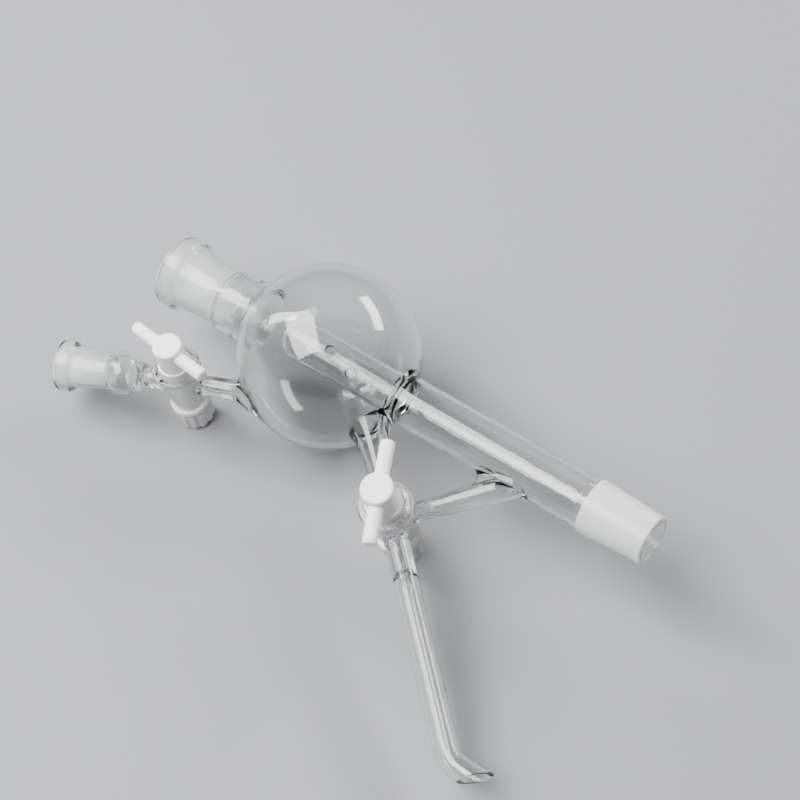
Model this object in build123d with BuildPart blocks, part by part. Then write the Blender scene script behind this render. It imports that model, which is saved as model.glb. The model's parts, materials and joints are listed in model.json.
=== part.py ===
from build123d import *

import os
from math import cos, radians, sin

# A glass distillation head with a two-way and a three-way PTFE stopcock, lying as it comes to rest.
#
# The glass is drawn in its own frame: origin at the bulb's centre, +X down the main tube to the ground cone,
# -Y towards the two stopcocks, +Z towards their handles. At the end every piece is laid on the ground, where
# the bulb and the two nuts touch it.

os.makedirs("parts", exist_ok=True)

# Bulb, neck and main tube (millimetres, degrees)
bulb_radius = 39.6
bulb_wall = 2.0
neck_radius = 14.1
neck_wall = 1.8
tube_radius = 10.9
tube_wall = 1.6
seal_x = 37.5
seal_bead_radius = 2.0

# Ground joints: 24/29 on the main axis and 14/23 on the side arm, taper 1:10 on diameter
taper = 0.1
joint_radius = 12.0
joint_length = 29.0
socket_mouth_x = -84.0
cone_end_x = 162.2
cone_wall = 2.4
collar_radius = 16.05
collar_length = 7.8
small_joint_radius = 7.25
small_joint_length = 23.0

# Vapour tube: closed by a dome inside the bulb, open to the main tube, with side holes near its top
vapour_radius = 9.0
vapour_wall = 1.4
vapour_dome_x = -14.5
vapour_hole_radius = 2.5
vapour_holes = [(-5.7, 40.0), (2.9, 4.0), (16.1, 31.0)]

# Where the stopcock barrels stand, how they lean, and which way their tubes run
two_way_xy = (-47.5, -42.4)
two_way_lean = (-0.3, 2.7)
two_way_handle_angle = 174.7
side_arm_angle = 202.3
three_way_xy = (66.6, -47.0)
three_way_lean = (1.6, -2.6)
three_way_handle_angle = 115.7
drain_angle = -41.8
return_angle = 48.2
three_way_scale = 1.107

# One stopcock, at the size of the two-way; heights are from the top of the barrel's rim, which stands
# rim_height above the plane of the tubes
rim_height = 12.9
rim_radius = 10.45
rim_thickness = 2.8
barrel_top_radius = 9.3
barrel_end_radius = 7.0
barrel_length = 25.8
mouth_radius = 7.6
mouth_depth = 3.0
bore_top_radius = 6.25
key_clearance = 0.05
head_radius = 6.24
head_top = 17.2
handle_radius = 2.8
handle_half_length = 20.0
handle_height = 12.5
shoulder_radius = 7.0
shoulder_bottom = 0.9
shoulder_top = 3.4
shank_radius = 3.4
shank_end = -39.2
washer_radius = 8.4
washer_top = -26.1
washer_thickness = 2.8
o_ring_section = 0.65
o_ring_centre_radius = 6.6
nut_top = -30.3
nut_end = -40.1
nut_radius = 8.1
nut_flutes = 12
flute_depth = 0.9
loose_fit = 0.06

# Side tubes
side_tube_radius = 4.5
side_bore_radius = 1.7
two_way_port_radius = 1.25
small_bulb_radius = 9.4
small_bulb_from_barrel = 27.0
small_mouth_from_barrel = 55.5
small_collar_radius = 10.85
small_collar_length = 6.4
drain_radius = 4.6
drain_root_radius = 6.6
return_radius = 6.2
return_bore_radius = 4.4
three_way_port_radius = 2.0
dispensing_radius = 5.2
dispensing_bore_radius = 3.8
capillary_length = 24.6
dispensing_corner = 106.5
dispensing_bend_radius = 15.0
tip_length = 12.2
tip_cut_angle = 45.0

# How it lies
rest_roll = 13.3258
rest_pitch = 2.0874


def stopcock_frame(xy, lean, handle_angle, scale):
    """Origin at the middle of the barrel's rim, Z up the key, X along the handle."""
    axis = Vector(sin(radians(lean[0])), sin(radians(lean[1])), 1).normalized()
    along = Vector(cos(radians(handle_angle)), sin(radians(handle_angle)), 0)
    along = (along - axis * along.dot(axis)).normalized()
    origin = Vector(*xy, 0) + axis * rim_height * scale
    return Plane(origin=origin, x_dir=along, z_dir=axis)


def section(frame):
    """The plane through a frame's X and Z in which a turned piece is drawn."""
    return Plane(origin=frame.origin, x_dir=frame.x_dir, z_dir=-frame.y_dir)


def upright(frame):
    """The axis that a turned piece turns about."""
    return Axis(frame.origin, frame.z_dir)


def along_arm(xy, angle):
    """A plane whose X runs along a side tube, in the plane of all the tubes."""
    return Plane(origin=(*xy, 0), x_dir=(cos(radians(angle)), sin(radians(angle)), 0), z_dir=(0, 0, 1))


two_way = stopcock_frame(two_way_xy, two_way_lean, two_way_handle_angle, 1.0)
three_way = stopcock_frame(three_way_xy, three_way_lean, three_way_handle_angle, three_way_scale)
stopcocks = [(two_way, 1.0), (three_way, three_way_scale)]

side_arm = along_arm(two_way_xy, side_arm_angle)
drain_arm = along_arm(three_way_xy, drain_angle + 180)
return_arm = along_arm(three_way_xy, return_angle)
dispensing_arm = along_arm(three_way_xy, drain_angle)


def turned(plane, corners):
    """A face to turn about the plane's X axis, from (along, out, corner radius) points in order."""
    with BuildSketch(plane) as face:
        with BuildLine():
            edge = FilletPolyline(
                *[(along, out) for along, out, _ in corners],
                radius=[corner for *_, corner in corners[1:-1]],
            )
            Line(edge @ 1, edge @ 0)
        make_face()
    return face.sketch


def turning_axis(plane):
    return Axis(plane.origin, plane.x_dir)


def scaled(corners, scale):
    return [(along * scale, out * scale, corner * scale) for along, out, corner in corners]


from_base = (Align.CENTER, Align.CENTER, Align.MIN)


# ---- glass body: blown and fused in one piece ----

main = Plane.XY
tube_end_x = cone_end_x - joint_length
joint_end_radius = joint_radius - taper / 2 * joint_length
small_joint_end_radius = small_joint_radius - taper / 2 * small_joint_length
collar_end_x = socket_mouth_x + collar_length
ground_end_x = socket_mouth_x + joint_length
neck_inside = neck_radius - neck_wall
tube_inside = tube_radius - tube_wall
vapour_inside = vapour_radius - vapour_wall
barrel_bore_end = bore_top_radius - taper * (barrel_length - mouth_depth)

neck_outline = [
    (socket_mouth_x, 0, 0),
    (socket_mouth_x, collar_radius, 1.6),
    (collar_end_x, collar_radius, 1.6),
    (collar_end_x + 1.6, 14.1, 1.2),
    (ground_end_x - 2.5, 12.6, 3.0),
    (ground_end_x + 3.5, neck_radius, 3.0),
    (-30, neck_radius, 0),
    (-30, 0, 0),
]
neck_cavity = [
    (socket_mouth_x - 1, 0, 0),
    (socket_mouth_x - 1, joint_radius + 1.6, 0),
    (socket_mouth_x + 0.8, joint_radius, 0),
    (ground_end_x, joint_end_radius, 1.0),
    (ground_end_x + 3.0, neck_inside, 2.0),
    (-30, neck_inside, 0),
    (-30, 0, 0),
]
tube_outline = [
    (30, 0, 0),
    (30, tube_radius, 0),
    (tube_end_x - 3, tube_radius, 2.0),
    (tube_end_x, joint_radius, 1.0),
    (cone_end_x, joint_end_radius, 1.0),
    (cone_end_x, 0, 0),
]
tube_cavity = [
    (seal_x + 2, 0, 0),
    (seal_x + 2, vapour_inside, 0),
    (seal_x + 4, tube_inside, 1.0),
    (tube_end_x - 2.5, tube_inside, 3.0),
    (tube_end_x + 1, joint_radius - cone_wall, 3.0),
    (cone_end_x + 1, joint_end_radius - cone_wall, 0),
    (cone_end_x + 1, 0, 0),
]
small_mouth = small_mouth_from_barrel
small_collar_end = small_mouth - small_collar_length
small_ground_end = small_mouth - small_joint_length
small_socket_outline = [
    (small_bulb_from_barrel, 0, 0),
    (small_bulb_from_barrel, 7.5, 0),
    (small_collar_end - 1.4, 8.7, 1.0),
    (small_collar_end, small_collar_radius, 1.2),
    (small_mouth, small_collar_radius, 1.2),
    (small_mouth, 0, 0),
]
small_socket_cavity = [
    (small_bulb_from_barrel, 0, 0),
    (small_bulb_from_barrel, small_joint_end_radius, 0),
    (small_ground_end, small_joint_end_radius, 0),
    (small_mouth - 0.6, small_joint_radius, 0),
    (small_mouth + 1, small_joint_radius + 1.4, 0),
    (small_mouth + 1, 0, 0),
]
side_arm_cavity = [
    (-34, 0, 0),
    (-34, 6.4, 0),
    (-26, side_bore_radius, 5.0),
    (-12.5, side_bore_radius, 0.8),
    (-11, two_way_port_radius, 0.5),
    (11, two_way_port_radius, 0.5),
    (12.5, side_bore_radius, 0.8),
    (20, side_bore_radius, 0),
    (20, 0, 0),
]
side_line_outline = [
    (-36, 0, 0),
    (-36, 10.5, 0),
    (-31, 8.4, 3.0),
    (-24.5, side_tube_radius, 8.0),
    (15, side_tube_radius, 7.0),
    (21, 7.2, 0),
    (21, 0, 0),
]
drain_outline = [
    (0, 0, 0),
    (0, drain_radius, 0),
    (20, drain_radius, 12.0),
    (36, drain_root_radius, 10.0),
    (44, 10.0, 3.0),
    (50, 12.5, 0),
    (50, 0, 0),
]
return_outline = [
    (0, 0, 0),
    (0, 4.2, 0),
    (18, 4.2, 30.0),
    (44, return_radius, 6.0),
    (60, return_radius, 0),
    (60, 0, 0),
]
drain_cavity = [
    (5, 0, 0),
    (5, three_way_port_radius, 0),
    (13, three_way_port_radius, 0.8),
    (14.5, drain_radius - 1.5, 0.8),
    (20, drain_radius - 1.4, 10.0),
    (36, drain_root_radius - 1.8, 4.0),
    (45, 7.0, 0),
    (45, 0, 0),
]
return_cavity = [
    (5, 0, 0),
    (5, three_way_port_radius, 0),
    (13, three_way_port_radius, 0.8),
    (18, 2.6, 8.0),
    (44, return_bore_radius, 6.0),
    (58, return_bore_radius, 0),
    (58, 0, 0),
]
capillary_cavity = [
    (5, 0, 0),
    (5, three_way_port_radius, 0),
    (capillary_length, three_way_port_radius, 1.5),
    (capillary_length + 3, dispensing_bore_radius, 2.5),
    (capillary_length + 12, dispensing_bore_radius, 0),
    (capillary_length + 12, 0, 0),
]
barrel_outline = [
    (0, 0, 0),
    (0, rim_radius, 1.2),
    (-rim_thickness, rim_radius, 1.2),
    (-rim_thickness - 1.0, barrel_top_radius, 1.0),
    (-barrel_length, barrel_end_radius, 0.6),
    (-barrel_length, 0, 0),
]
barrel_cavity = [
    (1, 0, 0),
    (1, mouth_radius + 0.5, 0),
    (-mouth_depth, bore_top_radius, 1.0),
    (-barrel_length - 1, barrel_bore_end - taper, 0),
    (-barrel_length - 1, 0, 0),
]


def lengthwise(frame):
    """A plane whose X runs up a key or barrel."""
    return Plane(origin=frame.origin, x_dir=frame.z_dir, z_dir=frame.y_dir)


def dispensing_path(start):
    """The dispensing tube's centre line: out from the barrel, then bent to run parallel to the main tube."""
    turn = radians(-drain_angle)
    beyond = tip_length + dispensing_radius
    with BuildLine(dispensing_arm) as path:
        FilletPolyline(
            (start, 0),
            (dispensing_corner, 0),
            (dispensing_corner + beyond * cos(turn), beyond * sin(turn)),
            radius=dispensing_bend_radius,
        )
    return path.line


def tube_section(path, radius):
    with BuildSketch(Plane(origin=path @ 0, z_dir=path % 0)) as section:
        Circle(radius)
    return section.sketch


dispensing_line = dispensing_path(4)
dispensing_bore_line = dispensing_path(capillary_length + 5)
tip_centre = dispensing_arm.from_local_coords(
    (
        dispensing_corner + tip_length * cos(radians(drain_angle)),
        -tip_length * sin(radians(drain_angle)),
    )
)
tip_cut = Plane(origin=tip_centre, z_dir=(cos(radians(tip_cut_angle)), -sin(radians(tip_cut_angle)), 0))

vapour_outline = [
    (vapour_dome_x - vapour_radius, 0, 0),
    (vapour_dome_x - vapour_radius, vapour_radius, vapour_radius - 0.1),
    (seal_x + 1, vapour_radius, 0),
    (seal_x + 1, 0, 0),
]
vapour_cavity = [
    (vapour_dome_x - vapour_inside, 0, 0),
    (vapour_dome_x - vapour_inside, vapour_inside, vapour_inside - 0.1),
    (seal_x + 4, vapour_inside, 0),
    (seal_x + 4, 0, 0),
]
outlines = [
    (main, neck_outline),
    (main, tube_outline),
    (side_arm, small_socket_outline),
    (side_arm, side_line_outline),
    (drain_arm, drain_outline),
    (return_arm, return_outline),
]
hollows = [
    (main, neck_cavity),
    (main, tube_cavity),
    (side_arm, small_socket_cavity),
    (side_arm, side_arm_cavity),
    (drain_arm, drain_cavity),
    (return_arm, return_cavity),
    (dispensing_arm, capillary_cavity),
]
welds = [
    ((-37.0, 0, neck_radius), 3.0),
    ((105.7, -10.9, 0), 4.5),
    ((-42.6, -35.5, 0), 1.5),
    ((75.6, -44.6, 0), 1.5),
    ((63.7, -38.3, 0), 1.5),
    ((-54.2, -46.7, 4.3), 1.2),
    ((73.0, -52.6, 5.2), 1.2),
]
small_bulb = Plane(origin=side_arm.from_local_coords((small_bulb_from_barrel, 0)), z_dir=side_arm.x_dir)

with BuildPart() as glass_body:
    Sphere(bulb_radius)
    for plane, corners in outlines:
        revolve(turned(plane, corners), axis=turning_axis(plane))
    with Locations(Location((seal_x, 0, 0), (0, 90, 0))):
        Torus(tube_radius, seal_bead_radius)
    with Locations(small_bulb):
        Sphere(small_bulb_radius)
    # dispensing tube
    sweep(tube_section(dispensing_line, dispensing_radius), path=dispensing_line)
    for frame, scale in stopcocks:
        plane = lengthwise(frame)
        revolve(turned(plane, scaled(barrel_outline, scale)), axis=turning_axis(plane))
    # weld fillets where the tubes join
    for place, radius in welds:
        join = glass_body.edges().filter_by(GeomType.LINE, reverse=True).sort_by_distance(place)[0]
        fillet(join, radius)
    # hollows
    for plane, corners in hollows:
        revolve(turned(plane, corners), axis=turning_axis(plane), mode=Mode.SUBTRACT)
    Sphere(bulb_radius - bulb_wall, mode=Mode.SUBTRACT)
    with Locations(small_bulb):
        Sphere(small_bulb_radius - 1.5, mode=Mode.SUBTRACT)
    dispensing_bore = tube_section(dispensing_bore_line, dispensing_bore_radius)
    sweep(dispensing_bore, path=dispensing_bore_line, mode=Mode.SUBTRACT)
    for frame, scale in stopcocks:
        plane = lengthwise(frame)
        revolve(turned(plane, scaled(barrel_cavity, scale)), axis=turning_axis(plane), mode=Mode.SUBTRACT)
    # slanting cut at the dispensing tip
    with Locations(tip_cut):
        Box(40, 40, 40, align=from_base, mode=Mode.SUBTRACT)
    # vapour tube standing in the bulb on the ring seal
    revolve(turned(main, vapour_outline), axis=Axis.X)
    revolve(turned(main, vapour_cavity), axis=Axis.X, mode=Mode.SUBTRACT)
    for along, azimuth in vapour_holes:
        outward = (0, -sin(radians(azimuth)), cos(radians(azimuth)))
        with Locations(Plane(origin=(along, 0, 0), z_dir=outward)):
            Cylinder(vapour_hole_radius, 12, align=from_base, mode=Mode.SUBTRACT)


# ---- stopcock keys: PTFE plug, handle rod, washer, O-ring and nut ----

plug_outline = [
    (shank_end, 0, 0),
    (shank_end, shank_radius, 0.6),
    (-barrel_length, shank_radius, 0),
    (-barrel_length, barrel_bore_end - key_clearance, 0.3),
    (-mouth_depth, bore_top_radius - key_clearance, 2.0),
    (shoulder_bottom, bore_top_radius - key_clearance, 0),
    (shoulder_bottom, shoulder_radius, 0.5),
    (shoulder_top, shoulder_radius, 0.5),
    (shoulder_top, head_radius, 0),
    (head_top, head_radius, 1.0),
    (head_top, 0, 0),
]
handle_outline = [
    (-handle_half_length, 0, 0),
    (-handle_half_length, handle_radius, 1.0),
    (handle_half_length, handle_radius, 1.0),
    (handle_half_length, 0, 0),
]
washer_outline = [
    (washer_top, shank_radius + loose_fit, 0),
    (washer_top, washer_radius, 0.5),
    (washer_top - washer_thickness, washer_radius, 0.5),
    (washer_top - washer_thickness, shank_radius + loose_fit, 0),
]
nut_outline = [
    (nut_top, shank_radius + loose_fit, 0),
    (nut_top, nut_radius, 0.5),
    (nut_end, nut_radius, 0.8),
    (nut_end, shank_radius + loose_fit, 0),
]


def key_piece(frame, scale, outline):
    """One turned piece standing on a stopcock's axis."""
    plane = lengthwise(frame)
    with BuildPart() as piece:
        revolve(turned(plane, scaled(outline, scale)), axis=turning_axis(plane))
    return piece.part


def height(frame, up):
    """The stopcock's frame raised along its axis."""
    return Plane(origin=frame.origin + frame.z_dir * up, x_dir=frame.x_dir, z_dir=frame.z_dir)


def plug(frame, scale, bore_radius, branched):
    """The tapered plug with its head, the handle's cross hole and its through bore."""
    crossing = Plane(origin=height(frame, handle_height * scale).origin, z_dir=frame.x_dir)
    bore = Plane(origin=height(frame, -rim_height * scale).origin, z_dir=frame.x_dir)
    branch = Plane(origin=bore.origin, z_dir=-frame.y_dir)
    with BuildPart() as piece:
        revolve(turned(lengthwise(frame), scaled(plug_outline, scale)), axis=upright(frame))
        with Locations(crossing):
            Cylinder((handle_radius + 0.03) * scale, 20 * scale, mode=Mode.SUBTRACT)
        with Locations(bore):
            Cylinder(bore_radius, 20 * scale, mode=Mode.SUBTRACT)
        if branched:
            with Locations(branch):
                Cylinder(bore_radius, 10, align=from_base, mode=Mode.SUBTRACT)
    return piece.part


def handle(frame, scale):
    """The round rod pushed through the plug's head."""
    bar = height(frame, handle_height * scale)
    with BuildPart() as piece:
        revolve(turned(bar, scaled(handle_outline, scale)), axis=turning_axis(bar))
    return piece.part


def o_ring(frame, scale):
    """The ring squeezed between the washer and the nut."""
    middle = (washer_top - washer_thickness + nut_top) / 2
    with BuildPart() as piece:
        with Locations(height(frame, middle * scale)):
            Torus(o_ring_centre_radius * scale, o_ring_section * scale)
    return piece.part


def nut(frame, scale):
    """The fluted nut on the end of the plug's shank."""
    middle = (nut_top + nut_end) / 2
    flute_radius = 1.5 * scale
    flute_ring = nut_radius * scale + flute_radius - flute_depth * scale
    with BuildPart() as piece:
        revolve(turned(lengthwise(frame), scaled(nut_outline, scale)), axis=upright(frame))
        with Locations(height(frame, middle * scale)):
            with PolarLocations(flute_ring, nut_flutes):
                Cylinder(flute_radius, 12 * scale, mode=Mode.SUBTRACT)
    return piece.part


pieces = {"glass_body": glass_body.part}
keys = [
    ("two_way", two_way, 1.0, two_way_port_radius, False),
    ("three_way", three_way, three_way_scale, three_way_port_radius, True),
]
for stopcock, frame, scale, bore_radius, branched in keys:
    pieces[f"{stopcock}_plug"] = plug(frame, scale, bore_radius, branched)
    pieces[f"{stopcock}_handle"] = handle(frame, scale)
    pieces[f"{stopcock}_washer"] = key_piece(frame, scale, washer_outline)
    pieces[f"{stopcock}_o_ring"] = o_ring(frame, scale)
    pieces[f"{stopcock}_nut"] = nut(frame, scale)

# ---- laid on the ground, origin under the middle of the bounding box ----

lying = Rotation(0, -rest_pitch, 0) * Rotation(rest_roll, 0, 0)
reach = Compound([piece.moved(lying) for piece in pieces.values()]).bounding_box()
on_ground = Location((-reach.center().X, -reach.center().Y, -reach.min.Z)) * lying

for name, piece in pieces.items():
    placed = piece.moved(on_ground)
    placed.label = name
    export_step(placed, f"parts/{name}.step")
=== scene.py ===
"""A borosilicate distillation head with two PTFE-key stopcocks, lying on a pale table in soft studio light."""

import json

import bpy
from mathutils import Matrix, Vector

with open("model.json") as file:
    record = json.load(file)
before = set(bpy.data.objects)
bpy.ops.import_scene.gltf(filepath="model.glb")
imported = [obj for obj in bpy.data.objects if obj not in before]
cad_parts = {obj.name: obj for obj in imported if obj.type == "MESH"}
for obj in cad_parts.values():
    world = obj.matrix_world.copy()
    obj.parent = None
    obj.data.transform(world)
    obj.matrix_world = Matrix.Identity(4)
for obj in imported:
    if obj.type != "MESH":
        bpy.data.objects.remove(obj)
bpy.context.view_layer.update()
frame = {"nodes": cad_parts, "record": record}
nodes = frame["nodes"]


# ---- The glass body ----
# Borosilicate tubing, blown and fused in a lathe and at the bench: a bulb with a vapour tube sealed inside it,
# a side arm, a drain, a return and a dispensing tube, and two ground stopcock barrels. Only the ground
# joints and the barrels' bores are frosted; the welds keep the slight ripple of hand work.


class Sum:
    """A shader value that adds, subtracts, multiplies and compares as numbers do."""

    def __init__(self, tree, socket):
        self.tree = tree
        self.socket = socket

    def node(self, kind, settings, sockets, output=0):
        """One output of a new node, given its type, its settings, and its sockets' values or links."""
        made = self.tree.nodes.new(kind)
        for name, value in settings.items():
            setattr(made, name, value)
        for name, value in sockets.items():
            if isinstance(value, Sum):
                self.tree.links.new(value.socket, made.inputs[name])
            else:
                made.inputs[name].default_value = value
        return Sum(self.tree, None if output is None else made.outputs[output])

    def math(self, operation, *others):
        return self.node("ShaderNodeMath", {"operation": operation}, dict(enumerate((self, *others))))

    def __add__(self, other):
        return self.math("ADD", other)

    def __radd__(self, other):
        return self.math("ADD", other)

    def __sub__(self, other):
        return self.math("SUBTRACT", other)

    def __rsub__(self, other):
        return (self * -1.0).math("ADD", other)

    def __mul__(self, other):
        return self.math("MULTIPLY", other)

    def __rmul__(self, other):
        return self.math("MULTIPLY", other)

    def __truediv__(self, other):
        return self.math("DIVIDE", other)

    def __rtruediv__(self, other):
        return (self ** -1.0).math("MULTIPLY", other)

    def __pow__(self, other):
        return self.math("POWER", other)

    def above(self, edge, soft):
        """0 below the edge and 1 above it, changing over a width of soft."""
        return ((self - edge) / soft + 0.5).math("MAXIMUM", 0.0).math("MINIMUM", 1.0)

    def below(self, edge, soft):
        """1 below the edge and 0 above it, changing over a width of soft."""
        return 1.0 - self.above(edge, soft)


def new_material(name):
    """An empty node material, and its Object coordinates in metres."""
    material = bpy.data.materials.new(name)
    material.use_nodes = True
    tree = material.node_tree
    tree.nodes.clear()
    return material, Sum(tree, None).node("ShaderNodeTexCoord", {}, {}, "Object")


def surface_from(shader):
    """Makes a shader its material's surface."""
    shader.node("ShaderNodeOutputMaterial", {}, {"Surface": shader}, None)


def noise(place, scale, detail=2.0, roughness=0.5):
    """Cloudy noise from 0 to 1, with scale patches to the metre."""
    sockets = {"Vector": place, "Scale": scale, "Detail": detail, "Roughness": roughness}
    return place.node("ShaderNodeTexNoise", {}, sockets, "Fac")


def bump(height, strength, distance):
    """A normal that a height bends."""
    sockets = {"Height": height, "Strength": strength, "Distance": distance}
    return height.node("ShaderNodeBump", {}, sockets, "Normal")


def colour_between(factor, first, last):
    """A colour that goes from the first to the last as the factor goes from 0 to 1."""
    sockets = {"Factor": factor, "A": (*first, 1.0), "B": (*last, 1.0)}
    return factor.node("ShaderNodeMix", {"data_type": "RGBA"}, sockets, "Result")


def distance_from(place, point):
    """How far each place on the surface is from a point, in millimetres."""
    return place.node("ShaderNodeVectorMath", {"operation": "DISTANCE"}, {0: place, 1: point}, "Value") * 1000.0


def along_and_out(place, origin, direction):
    """Millimetres along an axis, and out from it: the root of distance squared less along squared."""
    away = place.node("ShaderNodeVectorMath", {"operation": "SUBTRACT"}, {0: place, 1: origin}, "Vector")
    per_metre = [value * 1000.0 for value in direction]
    along = place.node("ShaderNodeVectorMath", {"operation": "DOT_PRODUCT"}, {0: away, 1: per_metre}, "Value")
    distance = place.node("ShaderNodeVectorMath", {"operation": "LENGTH"}, {0: away}, "Value") * 1000.0
    out = (distance * distance - along * along).math("MAXIMUM", 0.0) ** 0.5
    return along, out


# the head's own axes: the main tube's, the side arm's and the two barrels'
mounts = {mount["name"]: mount for mount in frame["record"]["mounts"]}
joints = {joint["name"]: joint for joint in frame["record"]["behaviour"]["joints"]}
bulb_to_cone_end = 0.1622
three_way_scale = 1.107
main_axis = Vector(mounts["lower_cone"]["axis"]).normalized()
cone_end = Vector(mounts["lower_cone"]["pos_m"])
bulb_centre = cone_end - main_axis * bulb_to_cone_end
socket_mouth = Vector(mounts["top_socket"]["pos_m"])
side_axis = Vector(mounts["side_socket"]["axis"]).normalized()
side_mouth = Vector(mounts["side_socket"]["pos_m"])
barrels = [
    (Vector(joints["two_way_turn"]["pos_m"]), Vector(joints["two_way_turn"]["axis"]), 1.0),
    (Vector(joints["three_way_turn"]["pos_m"]), Vector(joints["three_way_turn"]["axis"]), three_way_scale),
]

# in millimetres, the ground zones' depths from their open ends and their radii there, then the barrels' bores;
# a joint's radius changes by 1 in 20 of its length, and a bore's by 1 in 10
top_depth, top_radius = 29.3, 12.3
cone_depth, cone_radius, clear_of_cone = 29.2, 9.8, 13.0
side_depth, side_radius = 23.2, 7.6
bore_radius, bore_start, bore_end, plug_port = 8.0, 2.4, 26.4, 3.5
joint_slope = 0.05
bore_slope = 0.1

glass, place = new_material("borosilicate_glass")

# frost: inside the two sockets, outside the cone and its rounded end, inside the barrels
along, out = along_and_out(place, socket_mouth, main_axis)
frost_top = along.below(top_depth, 0.5) * along.above(0.6, 0.5) * out.below(top_radius, 0.1)
along, out = along_and_out(place, cone_end, main_axis * -1)
cone_skin = (out - along * joint_slope).above(cone_radius, 0.15) * out.below(clear_of_cone, 0.1)
frost_cone = along.below(cone_depth, 0.5) * along.above(-1.0, 0.2) * cone_skin
along, out = along_and_out(place, side_mouth, side_axis * -1)
side_skin = (out + along * joint_slope).below(side_radius, 0.1)
frost_side = along.below(side_depth, 0.5) * along.above(0.5, 0.4) * side_skin
frost = frost_top + frost_cone + frost_side
for middle, axis, scale in barrels:
    along, out = along_and_out(place, middle, axis * -1)
    bore_skin = (out + along * bore_slope).below(bore_radius * scale, 0.15)
    inside = bore_skin * along.above(bore_start * scale, 0.3) * along.below(bore_end * scale, 0.3)
    frost = frost + inside * out.above(plug_port * scale, 0.1)
frost = frost.math("MINIMUM", 1.0)

fine = noise(place, 2600.0, 3.0, 0.6)
patch = noise(place, 170.0, 4.0, 0.55)
ripple = noise(place, 42.0, 2.0, 0.4)
weld_ripple = noise(place, 190.0)

# hand-worked welds: two shallow rings at the neck, one before the cone, and waviness where each arm joins
neck_weld, cone_weld, return_weld, seal_weld = -42.0, 127.5, 108.6, 37.5
along, out = along_and_out(place, bulb_centre, main_axis)
neck_turns = ((along - neck_weld) * 0.9) ** 2.0
cone_turns = ((along - cone_weld) * 0.8) ** 2.0
rings = (1.0 / (neck_turns + 1.0)) * ((along * 1.7).math("SINE") * 0.5 + 0.5) + 0.35 / (cone_turns + 1.0)
waviness = ripple * 0.5
for weld, radius in ((return_weld, 13.0), (seal_weld, 17.0)):
    near = distance_from(place, bulb_centre + main_axis * (weld / 1000.0)).below(radius, 8.0)
    waviness = waviness + near * weld_ripple * 0.8

# the ring seal's thicker glass looks faintly green
seal = along.above(36.0, 1.0) * along.below(42.0, 1.5) * out.above(7.0, 1.0) * out.below(13.6, 0.4)
clear = place.node(
    "ShaderNodeBsdfPrincipled",
    {},
    {
        "IOR": 1.474,
        "Transmission Weight": 1.0,
        "Roughness": 0.0,
        "Base Color": colour_between(seal, (0.968, 0.982, 0.980), (0.87, 0.96, 0.90)),
        "Normal": bump(rings * 0.5 + waviness, 0.22, 0.0010),
    },
)

# grinding leaves fine turned lines, a sine wave of the distance along, broken up by grain
grinding = ((along * 21.0 + patch * 5.0).math("SINE") * 0.5 + 0.5) * 0.4 + fine * 0.6
ground = place.node(
    "ShaderNodeBsdfPrincipled",
    {},
    {
        "IOR": 1.474,
        "Transmission Weight": 0.45,
        "Roughness": 0.26 + patch * 0.14 + fine * 0.06,
        "Base Color": (0.965, 0.98, 0.99, 1.0),
        "Normal": bump(grinding, 0.35, 0.00012),
    },
)
ground_share = frost * (0.86 + patch * 0.2).math("MINIMUM", 1.0)
surface_from(place.node("ShaderNodeMixShader", {}, {"Fac": ground_share, 1: clear, 2: ground}))


def finish_with(node, material):
    """Puts a material in every slot of a CAD node."""
    nodes[node].data.materials.clear()
    nodes[node].data.materials.append(material)


finish_with("glass_body", glass)


# ---- The stopcock keys ----
# Turned PTFE: a tapered plug with a round head and a rod pushed through it as the handle, and a flat
# washer below the barrel. PTFE is a waxy white that light enters a little, with faint lathe rings.


def ptfe(name, middle, axis, rings, tint):
    """Waxy white with lathe rings, which are a sine wave of the height up the key, and soft cloudy mottling."""
    material, place = new_material(name)
    along, out = along_and_out(place, middle, axis)
    patch = noise(place, 260.0, 3.0, 0.5)
    turning = ((along + out) * rings).math("SINE") * 0.5 + 0.5
    shader = place.node(
        "ShaderNodeBsdfPrincipled",
        {},
        {
            "Base Color": colour_between(patch, [value * 0.95 for value in tint], tint),
            "Roughness": 0.36 + patch * 0.16,
            "IOR": 1.38,
            "Subsurface Weight": 0.25,
            "Subsurface Scale": 0.002,
            "Normal": bump(turning * 0.5 + patch * 0.5, 0.12, 0.0001),
        },
    )
    surface_from(shader)
    return material


# ---- The nuts and O-rings ----
# Fluted nuts of greyish, slightly translucent plastic pull each plug home against a thin dark O-ring
# and the washer.


def nut_plastic(name, middle, axis):
    """A greyer, slightly see-through white with moulded mottling."""
    return ptfe(name, middle, axis, 2.0, (0.66, 0.675, 0.68))


def dark_rubber(name):
    """Near-black rubber, a little dusty in patches."""
    material, place = new_material(name)
    patch = noise(place, 700.0, 3.0, 0.6)
    sockets = {
        "Base Color": colour_between(patch, (0.03, 0.03, 0.032), (0.10, 0.10, 0.10)),
        "Roughness": 0.5 + patch * 0.3,
    }
    surface_from(place.node("ShaderNodeBsdfPrincipled", {}, sockets))
    return material


rubber = dark_rubber("o_ring_rubber")
for stopcock, (middle, axis, _) in zip(("two_way", "three_way"), barrels):
    finish_with(f"{stopcock}_plug", ptfe(f"{stopcock}_plug_ptfe", middle, axis, 9.0, (0.90, 0.90, 0.885)))
    finish_with(f"{stopcock}_handle", ptfe(f"{stopcock}_handle_ptfe", middle, axis, 3.0, (0.91, 0.91, 0.90)))
    finish_with(f"{stopcock}_washer", ptfe(f"{stopcock}_washer_ptfe", middle, axis, 6.0, (0.88, 0.88, 0.87)))
    finish_with(f"{stopcock}_o_ring", rubber)
    finish_with(f"{stopcock}_nut", nut_plastic(f"{stopcock}_nut_plastic", middle, axis))


# ---- The table ----
# A plain pale matt surface, part of the studio and not of the object. It reaches far past the camera's
# view on every side.

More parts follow.
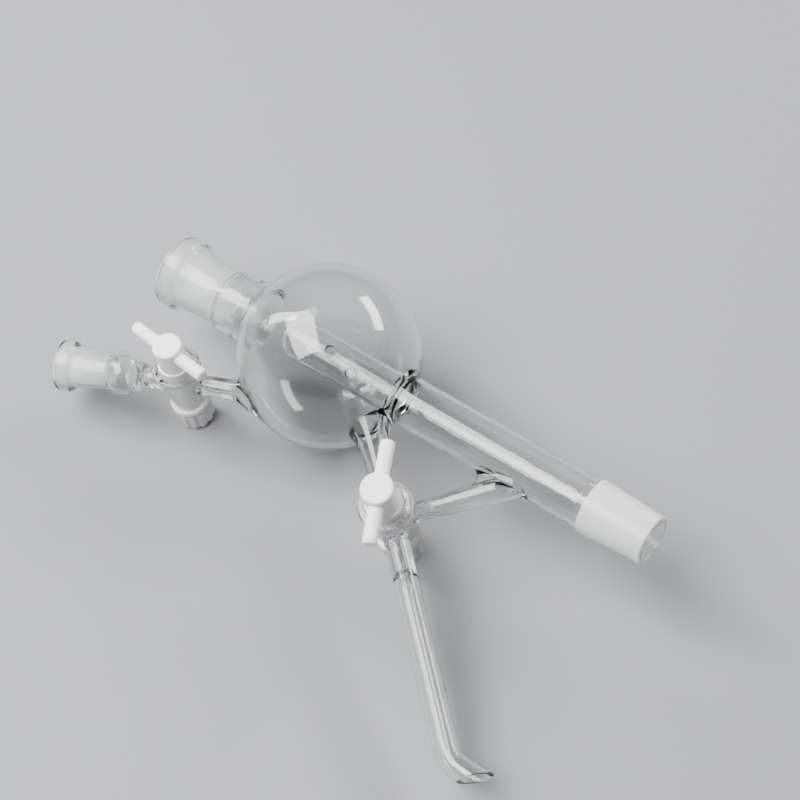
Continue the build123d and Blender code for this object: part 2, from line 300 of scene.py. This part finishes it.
half = 4.0
table_mesh = bpy.data.meshes.new("table_top")
corners = [(-half, -half, 0.0), (half, -half, 0.0), (half, half, 0.0), (-half, half, 0.0)]
table_mesh.from_pydata(corners, [], [(0, 1, 2, 3)])
table_top = bpy.data.objects.new("table_top", table_mesh)
bpy.context.scene.collection.objects.link(table_top)
table_paint, place = new_material("table_paint")
matt = {"Roughness": 0.7, "Base Color": (0.26, 0.265, 0.275, 1.0), "Specular IOR Level": 0.2}
surface_from(place.node("ShaderNodeBsdfPrincipled", {}, matt))
table_mesh.materials.append(table_paint)


# ---- Light and camera ----
# Three soft panels: a long low one behind, a tall narrow one on the left, and the main one, wide and high
# on the left towards the front, whose reflection runs the length of the tubes.

aim = (0.0, 0.0, 0.03)


def panel(name, where, width, height, watts):
    """A soft rectangular light that faces the head."""
    light = bpy.data.lights.new(name, "AREA")
    light.shape = "RECTANGLE"
    light.size = width
    light.size_y = height
    light.energy = watts
    lamp = bpy.data.objects.new(name, light)
    lamp.location = where
    lamp.rotation_euler = (Vector(aim) - Vector(where)).to_track_quat("-Z", "Y").to_euler()
    bpy.context.scene.collection.objects.link(lamp)


panel("back_panel", (0.35, 1.1, 0.75), 0.9, 0.28, 22.0)
panel("left_panel", (-1.05, -0.15, 0.75), 0.22, 0.8, 12.0)
panel("wide_panel", (-0.455, -0.455, 1.13), 1.3, 0.75, 52.0)

world = bpy.data.worlds.new("studio")
bpy.context.scene.world = world
world.use_nodes = True
backdrop = world.node_tree.nodes["Background"]
backdrop.inputs["Color"].default_value = (0.30, 0.31, 0.32, 1.0)
backdrop.inputs["Strength"].default_value = 0.30

lens = bpy.data.cameras.new("camera")
lens.sensor_width = 36.0
lens.lens = 107.34
lens.clip_start = 0.05
lens.clip_end = 20.0
looking = Vector((-0.3613, 0.4814, -0.7986))
camera = bpy.data.objects.new("camera", lens)
camera.location = (0.3643, -0.4371, 0.8304)
camera.rotation_euler = looking.to_track_quat("-Z", "Y").to_euler()
bpy.context.scene.collection.objects.link(camera)
bpy.context.scene.camera = camera

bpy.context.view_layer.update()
